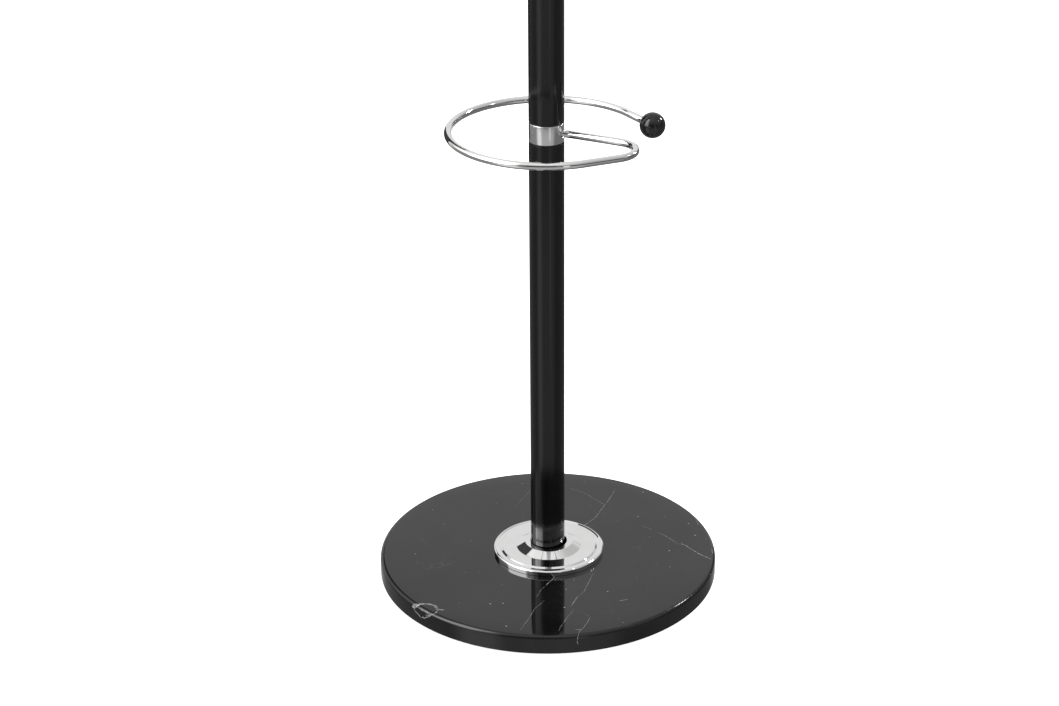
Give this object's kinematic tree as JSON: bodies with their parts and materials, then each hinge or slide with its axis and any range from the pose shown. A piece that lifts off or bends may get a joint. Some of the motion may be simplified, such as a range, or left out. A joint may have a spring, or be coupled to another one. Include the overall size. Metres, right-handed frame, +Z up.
{
  "type": "standing coat rack",
  "caption": "Free-standing coat rack: polished black marble disc, black tube, chrome cover plate, turning umbrella ring and turning head of ball-ended hooks.",
  "frame": {"origin": "on the floor, at the centre of the underside of the pads under the disc", "axes": "+Z up the pole, -Y towards the side the picture was taken from, +X to its right"},
  "size_m": [0.38, 0.38, 1.7401],
  "materials": {
    "black_marble": "polished, with thin white veins",
    "chrome": "mirror polished",
    "satin_chrome": "satin",
    "black_paint": "semi-gloss",
    "zinc_steel": "bright zinc plated",
    "black_rubber": "matt",
    "black_nylon": "matt",
    "gloss_black": "high gloss"
  },
  "bodies": {
    "stand": {"marble_base": "black_marble", "base_flange": "chrome", "tube_lower": "black_paint", "tube_middle": "black_paint", "tube_upper": "black_paint", "base_bolt": "zinc_steel", "base_washer": "zinc_steel", "base_spring_washer": "zinc_steel", "collar_stud": "zinc_steel", "joint_stud": "zinc_steel", "head_stud": "zinc_steel", "plug_lower_bottom": "zinc_steel", "plug_lower_top": "zinc_steel", "plug_middle_bottom": "zinc_steel", "plug_middle_top": "zinc_steel", "plug_upper_bottom": "zinc_steel", "plug_upper_top": "zinc_steel", "base_pad_1": "black_rubber", "base_pad_2": "black_rubber", "base_pad_3": "black_rubber", "base_pad_4": "black_rubber", "collar_washer_lower": "black_nylon", "collar_washer_upper": "black_nylon", "head_washer_lower": "black_nylon", "head_washer_upper": "black_nylon", "head_cap": "gloss_black"},
    "umbrella_holder": {"umbrella_collar": "satin_chrome", "umbrella_ring": "chrome", "umbrella_ball": "gloss_black"},
    "hook_head": {"hook_hub": "satin_chrome", "hook_upper_1": "chrome", "hook_upper_2": "chrome", "hook_upper_3": "chrome", "hook_upper_4": "chrome", "hook_lower_1": "chrome", "hook_lower_2": "chrome", "hook_lower_3": "chrome", "hook_lower_4": "chrome", "hook_upper_1_ball": "gloss_black", "hook_upper_2_ball": "gloss_black", "hook_upper_3_ball": "gloss_black", "hook_upper_4_ball": "gloss_black", "hook_lower_1_ball": "gloss_black", "hook_lower_2_ball": "gloss_black", "hook_lower_3_ball": "gloss_black", "hook_lower_4_ball": "gloss_black"}
  },
  "joints": [
    {"name": "umbrella_turn", "type": "hinge", "parent": "stand", "child": "umbrella_holder", "pos_m": [0, 0, 0.528], "axis": [0, 0, 1], "continuous": true},
    {"name": "head_turn", "type": "hinge", "parent": "stand", "child": "hook_head", "pos_m": [0, 0, 1.5813], "axis": [0, 0, 1], "continuous": true}
  ]
}
